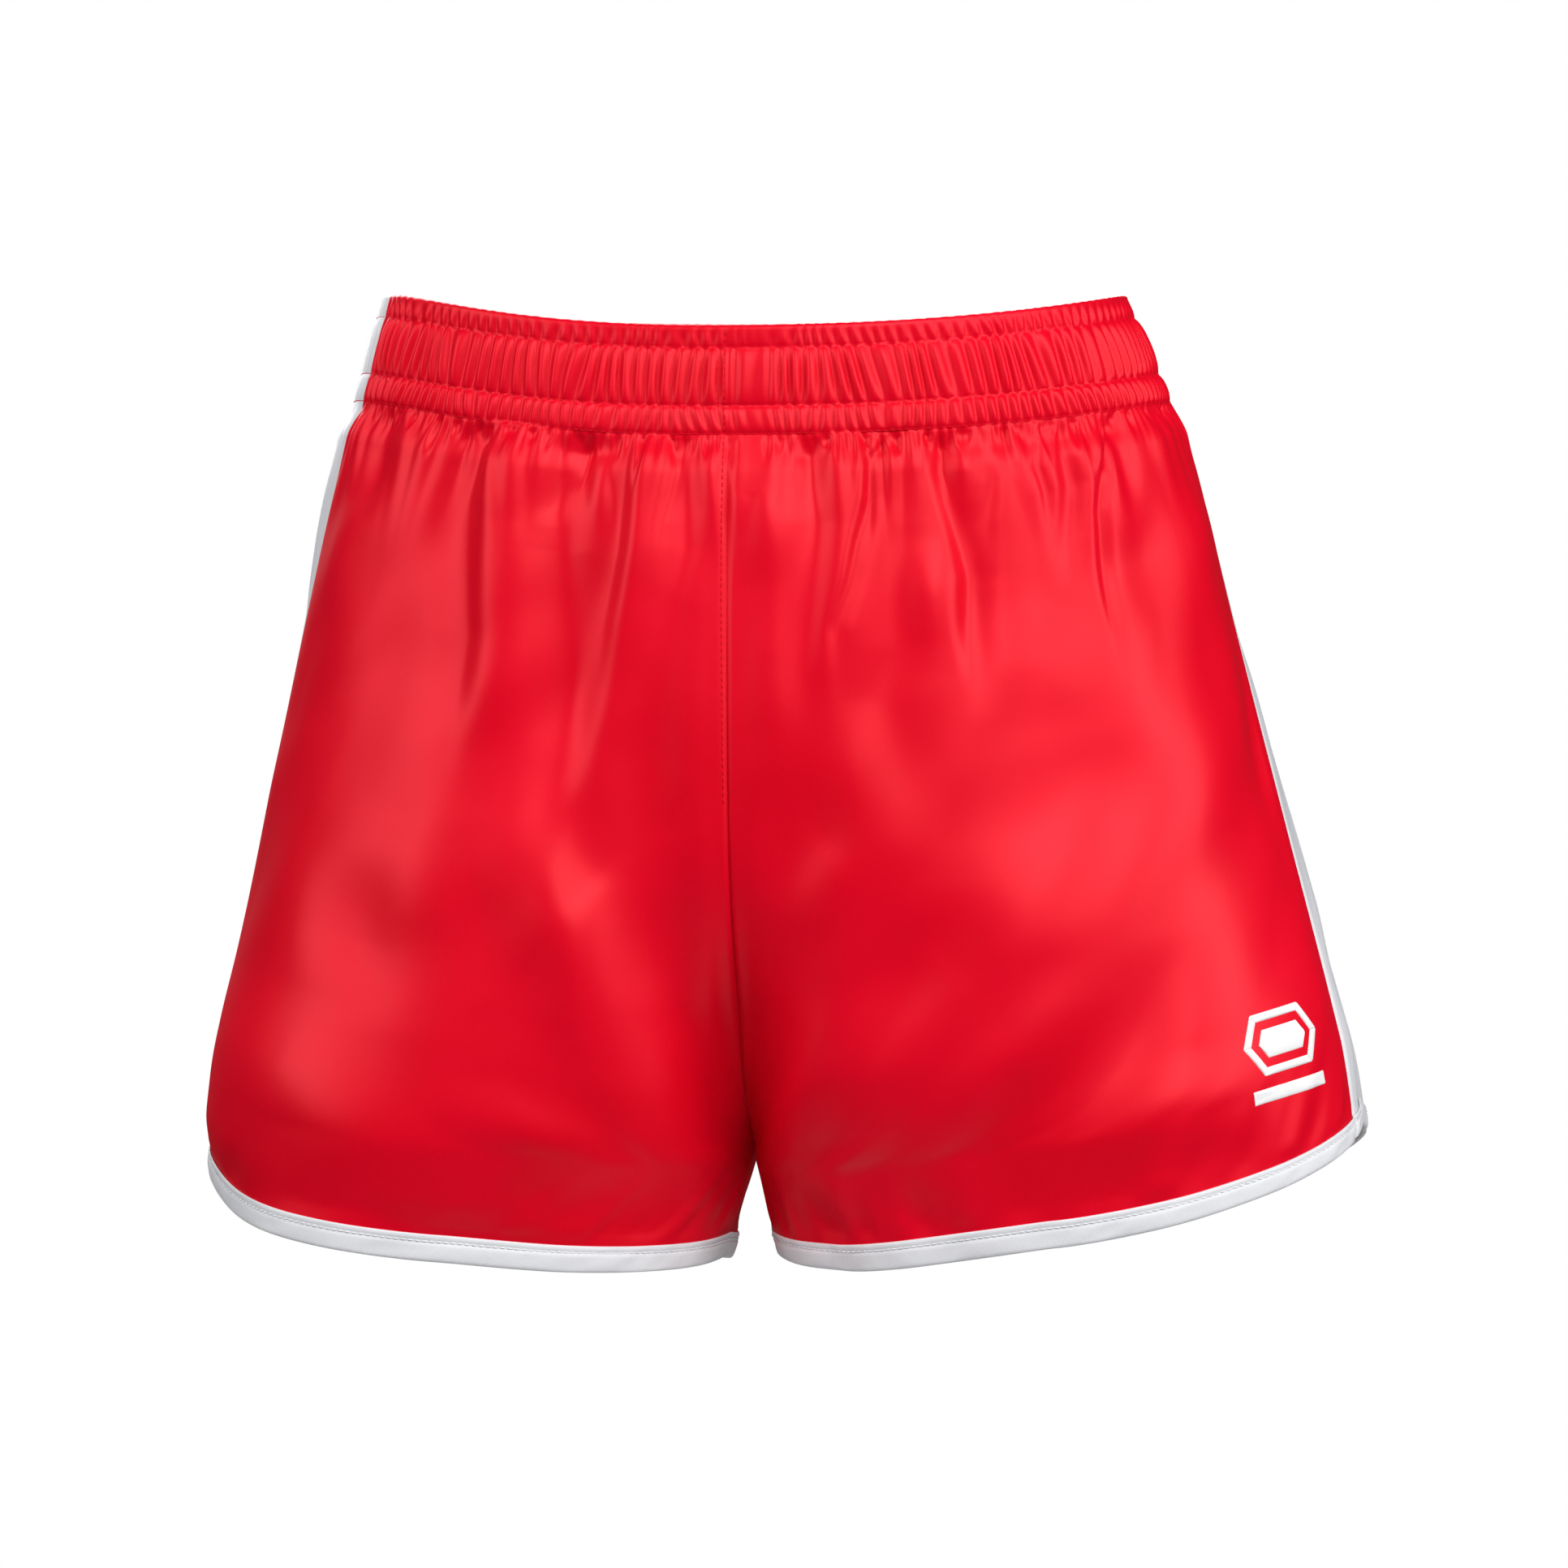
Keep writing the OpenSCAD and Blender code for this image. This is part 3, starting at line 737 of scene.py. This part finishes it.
PIECES = {}
for side in (LEFT, RIGHT):
    for face in (FRONT, BACK):
        PIECES[side, face] = Piece(side, face)
    PIECES[side, None] = Piece(side)

for (side, face), piece in PIECES.items():
    if face:
        name = f"{FACE_NAMES[face]}_panel_{SIDE_NAMES[side]}"
        cloth_piece(name, piece, COLUMN_SPACING[face], RED_SATIN)
    else:
        name = f"side_panel_{SIDE_NAMES[side]}"
        cloth_piece(name, piece, COLUMN_SPACING[face], WHITE_SATIN)


# ---------------- rings round the garment
def leg_loop(side):
    """Pieces round a leg, in order, each with the two values of s where it starts and ends."""
    back, middle, front = PIECES[side, BACK], PIECES[side, None], PIECES[side, FRONT]
    half = middle.width / 2
    return [(back, 0.0, back.width), (middle, -half, half), (front, front.width, 0.0)]


def waist_loop():
    turned = [(piece, end, start) for piece, start, end in leg_loop(RIGHT)[::-1]]
    return leg_loop(LEFT) + turned


def ring_samples(loop, spacing):
    """Evenly spaced (piece, values of s) round a loop, with no doubled ends."""
    samples = []
    for piece, start, end in loop:
        count = max(int(abs(end - start) / spacing), 4)
        samples.append((piece, start + (end - start) * np.arange(count) / count))
    return samples


def ring_grid(loop, spacing, profile):
    """A ring of cross-sections round a loop. profile(around) gives the section's (d, height)."""
    columns, uv = [], []
    for piece, s in ring_samples(loop, spacing):
        around = piece.around(s)[:, None]
        d, h = profile(around)
        if d[0] > BAND_H:
            base_d = np.minimum(d, HEM_D)
            h = h + relief(piece, s[:, None], BINDING_D) - hem_tuck(piece, s[:, None], BINDING_D)
            h = h + hem_tuck(piece, s[:, None], base_d)
        columns.append(piece.points(s[:, None] + 0 * d, d + 0 * h, height=h))
        uv.append(np.stack(np.broadcast_arrays(around, d + 0 * h), -1))
    return np.concatenate(columns), np.concatenate(uv)


SEWN_AT = 0.27             # where the binding's stitching is, from 0 at its upper edge to 1


def binding_profile(around):
    """Bias tape folded over the raw edge, soft, and slightly rippled."""
    bottom = HEM_D + 0.5
    t = np.linspace(0, 1, 16)
    ripple = 0.30 * noise((around + 7 * t) / 4.6, 1.3 * t, 51) + 0.25 * noise(around / 13, 0.5, 52)
    sewn = -0.5 * np.exp(-((t - SEWN_AT) / 0.07) ** 2)
    outer = 0.5 + (0.6 + ripple) * np.sin(np.pi * t) ** 0.5 + sewn
    outer_d = mix(BINDING_D, bottom, t)
    hidden = np.array([(BINDING_D + 2.2, 0.12), (BINDING_D + 0.5, 0.2)])
    inner = np.array([(bottom + 0.4, 0.0), (bottom + 0.4, -0.6), (bottom, -1.1), (bottom - 4, -1.4),
                      (BINDING_D, -1.1), (BINDING_D + 1.5, -0.7)])
    d = np.concatenate([hidden[:, 0], outer_d, inner[:, 0]])
    h = np.concatenate([hidden[:, 1] + 0 * around, outer, inner[:, 1] + 0 * around], axis=1)
    return d, h


def elastic_profile(around):
    """The elastic inside the casing, with its ribs running round the waist."""
    down = np.linspace(1.6, LOWER_ROW - 1.2, 60)
    rib = 0.12 * np.abs(np.sin(np.pi * down / 2.4))
    d = np.concatenate([down, down[::-1]])
    h = np.concatenate([-0.95 + rib, -1.5 - rib[::-1]])
    return d, h + 0 * around


for side in (LEFT, RIGHT):
    points, uv = ring_grid(leg_loop(side), 1.1, binding_profile)
    name = f"hem_binding_{SIDE_NAMES[side]}"
    obj = grid_object(name, points, WHITE_TAPE, uv, loop_columns=True, flip=side == LEFT)
    garment(obj, name)

points, uv = ring_grid(waist_loop(), 2.5, elastic_profile)
elastic = grid_object("waist_elastic", points, ELASTIC, uv, loop_columns=True, loop_rows=True, flip=True)
garment(elastic, "waist_elastic")


# ---------------- stitching
TUBE_SIDES = 6
# Sections along one stitch: share of its length, share of its radius, lift in radii.
STITCH_SHAPE = [
    (0.0, 0.08, -0.5),
    (0.14, 0.8, 0.2),
    (0.5, 1.0, 0.75),
    (0.86, 0.8, 0.2),
    (1.0, 0.08, -0.5),
]
# Pitch, length and radius of the stitches.
WAIST_STITCH = (2.7, 2.2, 0.22)
HEM_STITCH = (2.6, 2.1, 0.26)
RISE_STITCH = (2.6, 2.2, 0.2)
LABEL_STITCH = (2.4, 2.0, 0.25)
RISE_END = 176.0           # the d where the topstitching beside the centre seams ends


def stitches(path, normals, pitch, length, radius):
    """Separate stitches along a path: rounded tubes whose ends dip into the cloth."""
    along = run(path)
    starts = np.arange(0.2, along[-1] - length, pitch)
    share, size, lift = np.array(STITCH_SHAPE).T
    where = starts[:, None] + share * length

    def sample(values):
        return np.stack([np.interp(where, along, values[:, k]) for k in range(3)], -1)

    centre, up = sample(path), sample(normals)
    centre = centre + up * (lift * radius)[:, None]
    forward = np.gradient(centre, axis=1)
    forward /= np.linalg.norm(forward, axis=-1, keepdims=True)
    across = np.cross(up, forward)
    turn = np.arange(TUBE_SIDES) * 2 * math.pi / TUBE_SIDES
    ring = np.cos(turn)[:, None] * across[:, :, None, :] + np.sin(turn)[:, None] * up[:, :, None, :]
    return centre[:, :, None, :] + ring * (size * radius)[:, None, None]


def stitch_object(name, groups, material):
    points = np.concatenate(groups)
    rings = len(STITCH_SHAPE)
    faces = []
    for i in range(len(points)):
        base = i * rings * TUBE_SIDES
        for j in range(rings - 1):
            for k in range(TUBE_SIDES):
                k2 = (k + 1) % TUBE_SIDES
                a, b = base + j * TUBE_SIDES, base + (j + 1) * TUBE_SIDES
                faces.append((a + k, b + k, b + k2, a + k2))
    return garment(make_object(name, points.reshape(-1, 3), faces, material), name)


def cloth_path(piece, s, d, **kind):
    """Points along the cloth and the outward direction at each."""
    angle, z = piece.spot(piece.q_at(s), row_of(d))
    return piece.points(s, d, **kind), piece.normals(s, angle, z)


def loop_path(loop, d, **kind):
    """The path round a loop at one distance below the top edge, closed on itself."""
    parts = [cloth_path(piece, s, np.full_like(s, d), **kind) for piece, s in ring_samples(loop, 0.5)]
    path, normals = (np.concatenate(values) for values in zip(*parts))
    return np.vstack([path, path[:1]]), np.vstack([normals, normals[:1]])


for row, d in (("upper", UPPER_ROW), ("middle", MIDDLE_ROW), ("lower", LOWER_ROW)):
    group = stitches(*loop_path(waist_loop(), d, lift=-0.02), *WAIST_STITCH)
    stitch_object(f"waist_stitch_{row}", [group], RED_THREAD)

for side in (LEFT, RIGHT):
    sewn_h = 0.5 + 0.6 * math.sin(math.pi * SEWN_AT) ** 0.5 - 0.3
    path = loop_path(leg_loop(side), BINDING_D + 2.3, lift=sewn_h)
    group = stitches(*path, *HEM_STITCH)
    stitch_object(f"hem_stitch_{SIDE_NAMES[side]}", [group], WHITE_THREAD)

for face in (FRONT, BACK):
    d = np.arange(1.4, RISE_END, 0.5)
    path = cloth_path(PIECES[RIGHT, face], np.full_like(d, 1.5), d, lift=0.08)
    group = stitches(*path, *RISE_STITCH)
    stitch_object(f"{FACE_NAMES[face]}_rise_stitch", [group], RED_THREAD)


# ---------------- overlocked edges inside
def overlock(piece, start, end, d_low, d_high, seed):
    """A soft strip of looped thread on the inside, between two distances from a seam."""
    d = np.arange(d_low, d_high, 0.8)[:, None]
    turn = np.linspace(0, 2 * math.pi, 15)[:-1]
    wander = 0.35 * noise(d / 9, 0.5, seed)
    loops = 0.18 * np.sin(2 * math.pi * d / 2.0 + 1.2 * np.sin(turn))
    reach_s = (end - start) / 2 + loops
    s = (start + end) / 2 + wander + reach_s * np.cos(turn)
    h = relief(piece, s, d + 0 * s) - 1.15 + (0.45 + loops) * np.sin(turn)
    return piece.points(s, d + 0 * s, height=h)


def overlock_object(name, strips, material):
    vertices, faces = [], []
    for points in strips:
        base = len(vertices)
        columns, rows = points.shape[:2]
        vertices.extend(points.reshape(-1, 3))
        faces.extend(tuple(base + i for i in quad) for quad in grid_faces(columns, rows, loop_rows=True))
        faces.append(tuple(base + j for j in range(rows)))
        faces.append(tuple(base + (columns - 1) * rows + j for j in reversed(range(rows))))
    return garment(make_object(name, vertices, faces, material), name)


ALLOWANCE = (1.2, 7.0)     # the strip's edges, as distances from the seam
OVERLOCK_TOP = 42
for face in (FRONT, BACK):
    strip = overlock(PIECES[RIGHT, face], *ALLOWANCE, OVERLOCK_TOP, CROTCH_D - 30, 61)
    overlock_object(f"{FACE_NAMES[face]}_rise_overlock", [strip], RED_THREAD)
for side in (LEFT, RIGHT):
    strip = overlock(PIECES[side, BACK], *ALLOWANCE, CROTCH_D - 2, BINDING_D - 3, 62)
    overlock_object(f"inseam_overlock_{SIDE_NAMES[side]}", [strip], RED_THREAD)
    strips = []
    for face in (FRONT, BACK):
        piece = PIECES[side, face]
        start, end = piece.width - ALLOWANCE[1], piece.width - ALLOWANCE[0]
        strips.append(overlock(piece, start, end, OVERLOCK_TOP, BINDING_D - 3, 63 + face))
    overlock_object(f"side_overlock_{SIDE_NAMES[side]}", strips, WHITE_THREAD)


# ---------------- emblem
EMBLEM_W = 38.0
EMBLEM_TILT = math.radians(11)
EMBLEM_SHARE, EMBLEM_ROW = 0.175, 1.84       # its middle, from the side panel's edge and by row
THREAD_PITCH = 0.42
# Shares of the emblem's width: the badge's height above the middle and its half height, and the bar.
BADGE_RISE, BADGE_HALF_H = 0.13, 0.3
BADGE_SLANT = math.radians(30)
BAR_LOW, BAR_HIGH = -0.42, -0.28

emblem_piece = PIECES[LEFT, FRONT]
emblem_s = float(np.interp(EMBLEM_SHARE, emblem_piece.q, emblem_piece.s))
emblem_d = BAND_H + HEM_SPAN * (EMBLEM_ROW - 1)


def emblem_axes():
    """The emblem's middle on the smooth cloth, and its directions across and up."""
    near_s = [emblem_s, emblem_s + 2, emblem_s]
    near_d = [emblem_d, emblem_d, emblem_d + 2]
    here, by_s, by_d = emblem_piece.points(near_s, near_d, height=0.0)
    normal = np.cross(by_d - here, by_s - here)
    across = np.cross([0.0, 0.0, 1.0], normal)
    across = across / np.linalg.norm(across) * np.sign(across[0])
    up = np.cross(normal, across)
    up = up / np.linalg.norm(up) * np.sign(up[2])
    axes = np.stack([across, up])
    return here, axes, np.linalg.inv(axes @ np.stack([by_s - here, by_d - here], 1) / 2)


def on_cloth(target):
    """The s and d of points given in millimetres across and up the emblem."""
    middle, axes, to_cloth = emblem_axes()
    spot = np.array([emblem_s, emblem_d]) + target @ to_cloth.T
    for _ in range(5):
        reached = (emblem_piece.points(spot[..., 0], spot[..., 1], height=0.0) - middle) @ axes.T
        spot = spot + (target - reached) @ to_cloth.T
    return spot[..., 0], spot[..., 1]


def satin_patch(lower, upper, raised):
    """A block of satin stitch with its threads running from one outline to the other."""
    u = np.linspace(0, 1, 400)[:, None]

    def outline(corners):
        corners = np.array(corners, float) * EMBLEM_W
        along = run(corners)
        return np.stack([np.interp(u[:, 0], along / along[-1], corners[:, k]) for k in (0, 1)], -1)

    low, high = outline(lower), outline(upper)
    length = run(low)[-1]
    v = np.linspace(0, 1, max(int(np.linalg.norm(high - low, axis=1).max() / 0.35), 8))[None, :]
    flat = mix(low[:, None], high[:, None], v[..., None])
    ridge = np.abs(np.sin(np.pi * u * length / THREAD_PITCH)) * 0.09
    crown = np.minimum(np.sin(np.pi * v) ** 0.35, np.sin(np.pi * u) ** 0.2)
    lift = -0.25 + (raised + 0.25) * crown + ridge * crown
    cos, sin = math.cos(EMBLEM_TILT), math.sin(EMBLEM_TILT)
    turned = flat @ np.array([[cos, sin], [-sin, cos]])
    return emblem_piece.points(*on_cloth(turned), lift=lift)


def badge(inset):
    """Corners of the six-sided badge, from its left end over the top, drawn in evenly by inset."""
    tall = BADGE_HALF_H - inset
    wide = 0.5 - inset / math.cos(BADGE_SLANT)
    tip = wide - tall * math.tan(BADGE_SLANT)
    corners = [(-wide, 0), (-tip, tall), (tip, tall), (wide, 0), (tip, -tall), (-tip, -tall)]
    return [(x, y + BADGE_RISE) for x, y in corners]


outer, inner, middle = badge(0), badge(0.085), badge(0.16)
patches = [satin_patch([outer[i - 1], outer[i]], [inner[i - 1], inner[i]], 0.6) for i in range(6)]
patches.append(satin_patch([middle[0], middle[5], middle[4], middle[3]], middle[:4], 0.7))
patches.append(satin_patch([(-0.5, BAR_LOW), (0.5, BAR_LOW)], [(-0.5, BAR_HIGH), (0.5, BAR_HIGH)], 0.65))

vertices, faces = [], []
for points in patches:
    base = len(vertices)
    vertices.extend(points.reshape(-1, 3))
    faces.extend(tuple(base + i for i in quad) for quad in grid_faces(*points.shape[:2]))
emblem = make_object("emblem_embroidery", vertices, faces, EMBROIDERY)
garment(emblem, "emblem_embroidery")


# ---------------- labels
def label_object(name, sag):
    """A woven label, folded double, that hangs in a slight curve from its sewn end."""
    low, high = box_mm(name)
    thick = high[1] - low[1]
    x = np.linspace(low[0], high[0], 36)[:, None]
    down = np.linspace(0, 1, 60)
    across = (x - low[0]) / (high[0] - low[0]) * 2 - 1
    drop_z = mix(high[2], low[2], down)
    bow = -sag * np.sin(np.pi * down) * (1 - 0.3 * across ** 2) - 0.6 * down * across ** 2
    half = np.minimum(thick * 0.5, 0.05 + 0.4 * thick * np.sin(np.pi * down) ** 0.4)
    y = (low[1] + high[1]) / 2 + bow
    front = np.stack(np.broadcast_arrays(x, y - half, drop_z), -1)
    back = np.stack(np.broadcast_arrays(x, y + half, drop_z), -1)[:, ::-1]
    points = np.concatenate([front, back], axis=1)
    depth = np.concatenate([down, 2 - down[::-1]]) * (high[2] - low[2])
    uv = np.stack(np.broadcast_arrays(x, depth), -1)
    return garment(grid_object(name, points, LABEL, uv), name, body=name)


size_label = label_object("size_label", 0.3)
care_label = label_object("care_label", 0.5)

label_rows = []
for name in ("size_label", "care_label"):
    low, high = box_mm(name)
    x = np.linspace(low[0] + 1.5, high[0] - 1.5, 60)
    path = np.stack([x, np.full_like(x, low[1] + 0.05), np.full_like(x, high[2] + 1.2)], -1)
    label_rows.append(stitches(path, np.tile([0.0, -1.0, 0.0], (60, 1)), *LABEL_STITCH))
stitch_object("label_stitch", label_rows, WHITE_THREAD)


# ---------------- a length for each side
# A length in metres for each side, of which the loop only takes the side's name. The areas were set
# from the finished pieces. The red panels' cut widths and lengths are too small: the finished
# pieces' widest rows are 286 to 343 mm, and their longest columns 423 to 454 mm with the casing
# turned down.
for side, long in ((LEFT, 0.66), (RIGHT, 0.64)):
    name = SIDE_NAMES[side]


# ---------------- camera, floor and light
CAMERA_AZIMUTH = math.radians(6)
CAMERA_DISTANCE = 2.5
CAMERA_RIGHT, CAMERA_Z = 0.010065, -0.1557
FRAME_WIDTH = 0.5893       # what the frame spans at the object
LIGHTS_AIM = Vector((0, 0, -0.15))
ROOM_LIGHT = 0.035         # the room's strength as a light on the object
FLOOR_Z, FLOOR_R, FLOOR_SIDES = -1.25, 0.8, 96
RIGHTWARDS = Vector((math.cos(CAMERA_AZIMUTH), math.sin(CAMERA_AZIMUTH), 0))
TOWARDS = Vector((math.sin(CAMERA_AZIMUTH), -math.cos(CAMERA_AZIMUTH), 0))

camera = bpy.data.objects.new("camera", bpy.data.cameras.new("camera"))
bpy.context.scene.collection.objects.link(camera)
camera.location = TOWARDS * CAMERA_DISTANCE + RIGHTWARDS * CAMERA_RIGHT + Vector((0, 0, CAMERA_Z))
camera.rotation_euler = (math.pi / 2, 0, CAMERA_AZIMUTH)
camera.data.lens = camera.data.sensor_width * CAMERA_DISTANCE / FRAME_WIDTH
bpy.context.scene.camera = camera
bpy.context.scene.view_settings.view_transform = "Standard"


def soft_light(name, position, size, power):
    data = bpy.data.lights.new(name, "AREA")
    data.shape, data.size = "DISK", size
    data.energy = power
    light = bpy.data.objects.new(name, data)
    light.location = position
    light.rotation_euler = (LIGHTS_AIM - light.location).to_track_quat("-Z", "Y").to_euler()
    bpy.context.scene.collection.objects.link(light)


soft_light("key", (0.86, -2.12, 1.28), 1.9, 66)
soft_light("left", (-2.12, -1.36, 0.9), 2.2, 51)
soft_light("right", (2.35, -1.05, 0.6), 1.6, 44)
soft_light("back", (-0.8, 2.3, 1.2), 2.2, 80)


def studio_world():
    """A pale room, pure white behind the object and dimmer as a light on it."""
    world = bpy.data.worlds.new("studio")
    world.use_nodes = True
    tree = world.node_tree
    background = tree.nodes["Background"]
    seen = tree.nodes.new("ShaderNodeLightPath")
    strength = tree.nodes.new("ShaderNodeMapRange")
    strength.inputs["To Min"].default_value = ROOM_LIGHT
    strength.inputs["To Max"].default_value = 1.0
    tree.links.new(seen.outputs["Is Camera Ray"], strength.inputs["Value"])
    tree.links.new(strength.outputs[0], background.inputs["Strength"])
    background.inputs["Color"].default_value = (1, 1, 1, 1)
    bpy.context.scene.world = world


studio_world()


def pale_floor():
    turns = [2 * math.pi * i / FLOOR_SIDES for i in range(FLOOR_SIDES)]
    rim = [(FLOOR_R * math.cos(turn), FLOOR_R * math.sin(turn), FLOOR_Z) for turn in turns]
    mesh = bpy.data.meshes.new("floor")
    mesh.from_pydata(rim, [], [tuple(range(FLOOR_SIDES))])
    n = Nodes("pale_floor")
    metres = n.add("TexCoord").outputs["Object"]
    grain = n.add("TexNoise", {"Vector": metres, "Scale": 3.0}).outputs[0]
    colour = n.ramp(grain, [(0.2, (0.8, 0.8, 0.8)), (0.8, (0.82, 0.82, 0.82))])
    n.finish(colour, n.map_range(grain, 0.85, 0.95), grain, 0.01, 1.0)
    mesh.materials.append(n.material)
    floor = bpy.data.objects.new("floor", mesh)
    bpy.context.scene.collection.objects.link(floor)


pale_floor()
